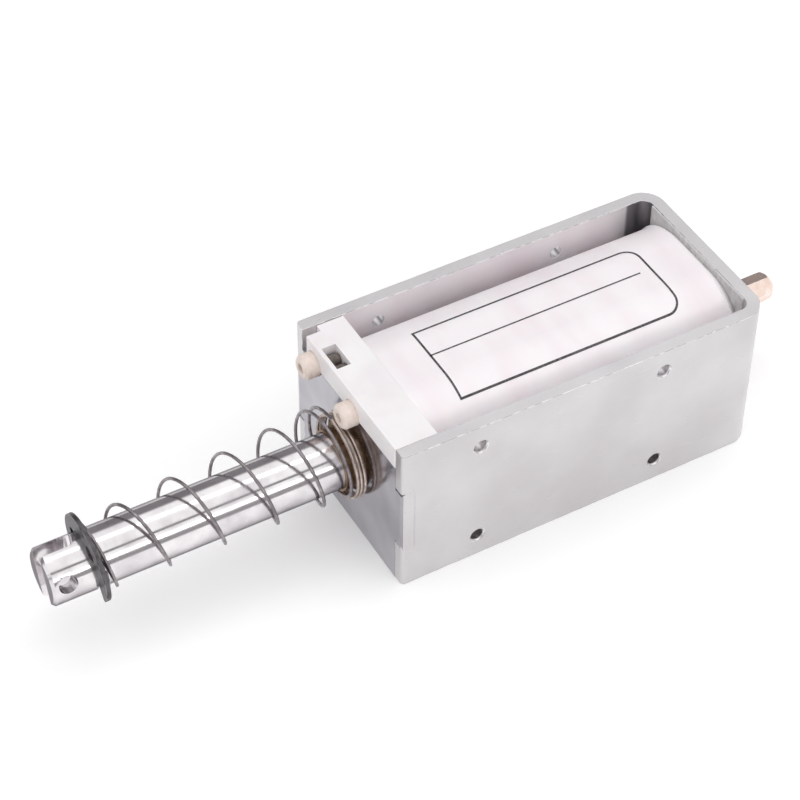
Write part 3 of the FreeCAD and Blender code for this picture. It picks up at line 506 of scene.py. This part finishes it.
polePlate = roundedCopy("front_plate", "polePlate", {
    "edgeRadius": 0.35, "edgeSteps": 3, "edgeAngle": 40, "flush": flushTongue,
    "fill": {"low": min(corner.z for corner in notchCorners),
             "high": max(corner.z for corner in notchCorners),
             "back": max(corner.x for corner in notchCorners)},
    "finishes": ("plate", "strip", "stripEdge"), "body": "housing", "slot": "zinc_plate"})
for face in polePlate.data.polygons:
    atWall = abs(face.center.y) > wallOutside - faceTests["nearWall"] * mm
    if atWall and abs(face.normal.y) > faceTests["sideways"]:
        face.material_index = 1     # the ends of the tongues are as satin as the wall

roundedCopy("bobbin", "bobbinMoulding", {
    "edgeRadius": 0.35, "edgeSteps": 3, "edgeAngle": 40,
    "finishes": ("nylon",), "body": "housing", "slot": "bobbin_moulding"})

roundedCopy("plunger", "plungerBar", {
    "edgeRadius": 0.2, "edgeSteps": 2, "edgeAngle": 40,
    "finishes": ("bar",), "body": "plunger", "slot": "turned_steel"})

roundedCopy("hex_tip", "hexagonTip", {
    "edgeRadius": 0.2, "edgeSteps": 2, "edgeAngle": 20,
    "finishes": ("hexagon",), "body": "plunger", "slot": "hex_brass"})

for node, name in (("lead_bush_far", "leadBushFar"), ("lead_bush_near", "leadBushNear")):
    roundedCopy(node, name, {
        "edgeRadius": 0.25, "edgeSteps": 2, "edgeAngle": 40,
        "finishes": ("cream",), "body": "housing", "slot": "cream_moulding"})

for node, finish in (
        ("winding", "winding"), ("guide_tube", "tube"), ("pole_piece", "core"),
        ("shading_ring", "ring"), ("rod_bush", "tube"), ("stop_washer", "fibre"),
        ("front_insulator", "board"), ("rear_insulator", "board"),
        ("lead_joint_far", "tape"), ("lead_joint_near", "tape"),
        ("push_rod", "bar"), ("coil_wrap", "film")):
    dress(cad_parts[node], finish)
print("inner pieces dressed")

clip = {
    "lean": 3.5,        # degrees, its top towards the clevis
    "rise": 0.7,        # the closed side of the ring is wider than the open one
    "bore": 7.5,        # what lies further out than this rises
}
retainingClip = roundedCopy("e_clip", "retainingClip", {
    "edgeRadius": 0.15, "edgeSteps": 2, "edgeAngle": 40,
    "finishes": ("clip", "clipEdge"), "body": "spring_seat", "slot": "black_spring_steel"})
clipLow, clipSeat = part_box("e_clip")[0].x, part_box("e_clip")[1].x
clipMiddle = Vector(((clipLow + clipSeat) / 2, 0, axisZ))
for vertex in retainingClip.data.vertices:
    if math.hypot(vertex.co.y, vertex.co.z - axisZ) > clip["bore"] * mm:
        vertex.co.z += clip["rise"] * mm
lean = Matrix.Translation(clipMiddle) @ Matrix.Rotation(math.radians(-clip["lean"]), 4, "Y")
retainingClip.data.transform(lean @ Matrix.Translation(-clipMiddle))

spring = {
    "wire": 0.92, "touch": 0.06,        # thickness, and what stays free between wire and clip
    # turns counted from the front plate, and how far the wire has come from the plate there
    "stations": ((0, 0.52), (1, 1.6), (2, 2.68), (3, 3.8), (4, 6.5), (4.8, 14.0), (5.8, 27.4),
                 (6.8, 42.3), (7.8, 57.4)),
    "closedTurns": 3.0, "clipTurn": 8.8, "endTurns": 1.0, "endPitch": 1.2,
    "closedRadius": 11.6, "closedLift": 0.4,
    "opensFrom": 2.4, "opensWithin": 0.9,
    "openRadius": 12.6, "openLift": 2.3, "openSide": 1.0,     # at turn 4
    "openLean": 2.4,                                          # degrees
    "clipRadius": 9.25, "clipLift": 0.5, "clipSide": 0.1,     # at the clip
    "pointsPerTurn": 20,
}


def springAlong(turn):
    # distance of the wire from the front plate, on a smooth curve through the stations
    last = (frontX - clipSeat) / mm - spring["wire"] / 2 - spring["touch"]
    stations = [*spring["stations"], (spring["clipTurn"], last - spring["endPitch"]),
                (spring["clipTurn"] + spring["endTurns"], last)]
    turn = min(max(turn, 0), stations[-1][0])
    index = max(i for i, station in enumerate(stations[:-1]) if station[0] <= turn)
    slopes = []
    for i in (index, index + 1):
        before, after = stations[max(i - 1, 0)], stations[min(i + 1, len(stations) - 1)]
        slopes.append((after[1] - before[1]) / (after[0] - before[0]))
    (t0, x0), (t1, x1) = stations[index], stations[index + 1]
    span = t1 - t0
    u = (turn - t0) / span
    return (x0 * (1 + 2 * u) * (1 - u) ** 2 + slopes[0] * span * u * (1 - u) ** 2
            + x1 * u * u * (3 - 2 * u) + slopes[1] * span * u * u * (u - 1))


def springPoint(turn):
    openStart = spring["closedTurns"] + 1
    share = min(max((turn - openStart) / (spring["clipTurn"] - openStart), 0), 1)
    radius = spring["openRadius"] + (spring["clipRadius"] - spring["openRadius"]) * share
    lift = spring["openLift"] + (spring["clipLift"] - spring["openLift"]) * share
    side = spring["openSide"] + (spring["clipSide"] - spring["openSide"]) * share
    opened = min(max((turn - spring["opensFrom"]) / spring["opensWithin"], 0), 1)
    opened = opened * opened * (3 - 2 * opened)
    radius = spring["closedRadius"] + (radius - spring["closedRadius"]) * opened
    lift = spring["closedLift"] + (lift - spring["closedLift"]) * opened
    angle = math.pi / 2 - 2 * math.pi * turn
    height = radius * math.sin(angle) + lift
    follow = min(max(turn - spring["clipTurn"] + 1, 0), 1)  # the end turn lies on the leaning clip
    lean = spring["openLean"] * opened * (1 - follow) + clip["lean"] * follow
    along = springAlong(turn) + height * math.tan(math.radians(lean))
    across = radius * math.cos(angle) + side * opened
    return Vector((frontX - along * mm, across * mm, axisZ + height * mm))


def wireThrough(name, points, radius):
    # round wire along the points, as a mesh
    curve = bpy.data.curves.new(name, "CURVE")
    curve.dimensions = "3D"
    curve.bevel_depth = radius * mm
    curve.bevel_resolution = 3
    curve.use_fill_caps = True
    line = curve.splines.new("NURBS")
    line.points.add(len(points) - 1)
    for place, point in zip(line.points, points):
        place.co = (*point, 1)
    line.order_u = 4
    line.use_endpoint_u = True
    line.resolution_u = 2
    piece = bpy.data.objects.new(name, curve)
    bpy.context.collection.objects.link(piece)
    onlySelect(piece)
    bpy.ops.object.convert(target="MESH")
    bpy.ops.object.shade_smooth()
    return piece


def windTurns(name, start, end, finish):
    steps = max(2, round((end - start) * spring["pointsPerTurn"]))
    points = [springPoint(start + (end - start) * step / steps) for step in range(steps + 1)]
    piece = wireThrough(name, points, spring["wire"] / 2)
    dress(piece, finish)
    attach(piece, "housing")
    return piece


# the closed turns are painted lighter than the open ones: painted light against their shade
closedCoil = windTurns("springClosedTurns", 0, spring["closedTurns"], "oilyWireLightened")
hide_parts("return_spring")
openCoil = windTurns(
    "springOpenTurns", spring["closedTurns"], spring["clipTurn"] + spring["endTurns"], "wire")
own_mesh(openCoil)
print("return spring wound")

printed = {
    "left": 24.0, "right": 92.0, "far": 10.0, "near": -15.4,    # from the frame's front, and across
    "corner": 4.5, "cornerSteps": 8,    # the two corners at the rear are round
    "line": 0.6,
    "rule": 0.3, "ruleRight": 88.3, "ruleLine": 0.45,
    "bandWidth": 1.0,                   # strips that follow the bend of the wrap
    "drawnAbove": 5.0, "lift": 0.06,
}


def printBorder(name):
    # an outline and one rule, drawn flat over the wrap and pressed down onto it
    middle = Vector((frontX + (printed["left"] + printed["right"]) / 2 * mm,
                     (printed["far"] + printed["near"]) / 2 * mm,
                     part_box("coil_wrap")[1].z + printed["drawnAbove"] * mm))
    bpy.ops.object.select_all(action="DESELECT")
    bpy.ops.mesh.primitive_plane_add(size=1, location=middle)
    piece = bpy.context.active_object
    piece.name = name
    piece.scale = ((printed["right"] - printed["left"]) * mm,
                   (printed["far"] - printed["near"]) * mm, 1)
    bpy.ops.object.transform_apply(location=True, rotation=True, scale=True)
    for vertex in piece.data.vertices:
        vertex.select = vertex.co.x > middle.x
    for edge in piece.data.edges:
        edge.select = all(piece.data.vertices[i].select for i in edge.vertices)
    for face in piece.data.polygons:
        face.select = False
    bpy.ops.object.mode_set(mode="EDIT")
    bpy.ops.mesh.select_mode(type="VERT")
    bpy.ops.mesh.bevel(
        affect="VERTICES", offset=printed["corner"] * mm, segments=printed["cornerSteps"])
    bpy.ops.mesh.select_all(action="SELECT")
    bpy.ops.mesh.inset(thickness=printed["line"] * mm)
    bpy.ops.mesh.delete(type="ONLY_FACE")
    ruleMiddle = Vector((frontX + (printed["left"] + printed["ruleRight"]) / 2 * mm,
                         printed["rule"] * mm, middle.z))
    bpy.ops.mesh.primitive_plane_add(size=1, location=ruleMiddle)
    ruleLength = (printed["ruleRight"] - printed["left"]) * mm
    bpy.ops.transform.resize(
        value=(ruleLength, printed["ruleLine"] * mm, 1), center_override=ruleMiddle)
    across = printed["near"] + printed["bandWidth"]
    while across < printed["far"]:
        bpy.ops.mesh.select_all(action="SELECT")
        bpy.ops.mesh.bisect(plane_co=(0, across * mm, 0), plane_no=(0, 1, 0))
        across += printed["bandWidth"]
    bpy.ops.object.mode_set(mode="OBJECT")
    press = piece.modifiers.new("pressOntoWrap", "SHRINKWRAP")
    press.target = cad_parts["coil_wrap"]
    press.wrap_method = "PROJECT"
    press.use_project_z = True
    press.use_negative_direction = True
    press.use_positive_direction = False
    press.offset = printed["lift"] * mm
    bpy.ops.object.modifier_apply(modifier=press.name)
    dress(piece, "ink")
    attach(piece, "housing")
    return piece


border = printBorder("printedBorder")
print("print on the wrap done,", len(border.data.polygons), "faces")


studio = {
    "floor": "#FFFFFF", "floorGlow": 0.16, "floorSize": 12.0, "floorDrop": 0.05,
    # grey wall behind, white ceiling with a grey slit above the near side, white wall in front
    # with a grey foot; the position 0 is the horizon behind, 0.5 straight up and 1 in front
    "sky": ((0.0, "#8E8C8E"), (0.22, "#7E7B7E"), (0.27, "#FFFFFF"), (0.69, "#FFFFFF"),
            (0.712, "#6E6C6E"), (0.735, "#6E6C6E"), (0.755, "#FFFFFF"), (0.86, "#FFFFFF"),
            (0.91, "#9A989A"), (1.0, "#949294")),
    "skyStrength": 1.08,
}


def makeFloor():
    bpy.ops.object.select_all(action="DESELECT")
    bpy.ops.mesh.primitive_plane_add(
        size=studio["floorSize"], location=(0, 0, -studio["floorDrop"] * mm))
    floor = bpy.context.active_object
    floor.name = "studioFloor"
    material, tree, shader = newMaterial("whitePaperFloor", studio["floor"], 0.0, 0.9)
    seen = addNode(tree, "ShaderNodeLightPath", out="Is Camera Ray")
    for kind in ("Is Glossy Ray", "Is Transmission Ray"):
        ray = addNode(tree, "ShaderNodeLightPath", out=kind)
        seen = addNode(tree, "ShaderNodeMath", {0: seen, 1: ray}, {"operation": "MAXIMUM"})
    glow = addNode(tree, "ShaderNodeMath", {
        0: seen, 1: studio["floorGlow"]}, {"operation": "MULTIPLY"})
    shader.inputs["Emission Color"].default_value = srgb("#FFFFFF")
    tree.links.new(glow, shader.inputs["Emission Strength"])
    floor.data.materials.append(material)


def makeWorld():
    # the colour goes by the angle, from the horizon behind over the ceiling to the one in front
    world = bpy.data.worlds.new("studioRoom")
    bpy.context.scene.world = world
    world.use_nodes = True
    tree = world.node_tree
    direction = addNode(tree, "ShaderNodeTexCoord", out="Generated")
    split = tree.nodes.new("ShaderNodeSeparateXYZ")
    tree.links.new(direction, split.inputs["Vector"])
    angle = addNode(tree, "ShaderNodeMath", {
        0: split.outputs["Z"], 1: split.outputs["Y"]}, {"operation": "ARCTAN2"})
    share = addNode(tree, "ShaderNodeMapRange", {"Value": angle, "From Max": math.pi})
    ramp = tree.nodes.new("ShaderNodeValToRGB")
    tree.links.new(share, ramp.inputs["Fac"])
    stops = ramp.color_ramp.elements
    while len(stops) < len(studio["sky"]):
        stops.new(0.5)
    for stop, (position, colour) in zip(stops, studio["sky"]):
        stop.position = position
        stop.color = srgb(colour)
    sky = tree.nodes["Background"]
    tree.links.new(ramp.outputs["Color"], sky.inputs["Color"])
    sky.inputs["Strength"].default_value = studio["skyStrength"]


# places and sizes in metres, power in watts
softboxes = {
    "frontSoftbox": {
        "from": (0.25, -1.00, 0.50), "size": (0.80, 0.20), "power": 1.2, "colour": "#FFFDFB"},
    "topSoftbox": {
        "from": (0.20, 0.20, 1.10), "size": (0.70, 0.14), "power": 0.6, "colour": "#FBFCFF"},
}


def makeSoftboxes():
    aim = Vector((0, 0, axisZ))
    for name, box in softboxes.items():
        light = bpy.data.lights.new(name, "AREA")
        light.shape = "RECTANGLE"
        light.size, light.size_y = box["size"]
        light.energy = box["power"]
        light.color = srgb(box["colour"])[:3]
        lamp = bpy.data.objects.new(name, light)
        bpy.context.collection.objects.link(lamp)
        lamp.location = box["from"]
        lamp.rotation_mode = "QUATERNION"
        lamp.rotation_quaternion = (lamp.location - aim).to_track_quat("Z", "Y")


viewpoint = {
    "azimuth": -30.065, "elevation": 45.213, "roll": 0.554,     # degrees
    "distance": 667.75,                                         # this and the rest in mm
    "aim": (0.151, 13.860, 19.749),
    "lens": 112.998, "sensor": 36,
}


def makeCamera():
    azimuth, elevation = math.radians(viewpoint["azimuth"]), math.radians(viewpoint["elevation"])
    back = Vector((math.sin(azimuth) * math.cos(elevation),
                   -math.cos(azimuth) * math.cos(elevation), math.sin(elevation)))
    camera = bpy.data.objects.new("camera", bpy.data.cameras.new("camera"))
    bpy.context.collection.objects.link(camera)
    camera.data.lens = viewpoint["lens"]
    camera.data.sensor_width = viewpoint["sensor"]
    camera.data.clip_start = 0.01
    camera.data.clip_end = 50
    camera.location = Vector(viewpoint["aim"]) * mm + back * viewpoint["distance"] * mm
    right = (-back).cross(Vector((0, 0, 1))).normalized()
    up = right.cross(-back)
    level = Matrix((right, up, back)).transposed()
    rolled = Matrix.Rotation(math.radians(viewpoint["roll"]), 3, back) @ level
    camera.rotation_mode = "QUATERNION"
    camera.rotation_quaternion = rolled.to_quaternion()
    bpy.context.scene.camera = camera


makeFloor()
makeWorld()
makeSoftboxes()
makeCamera()
bpy.context.scene.view_settings.view_transform = "Standard"
print("studio set")
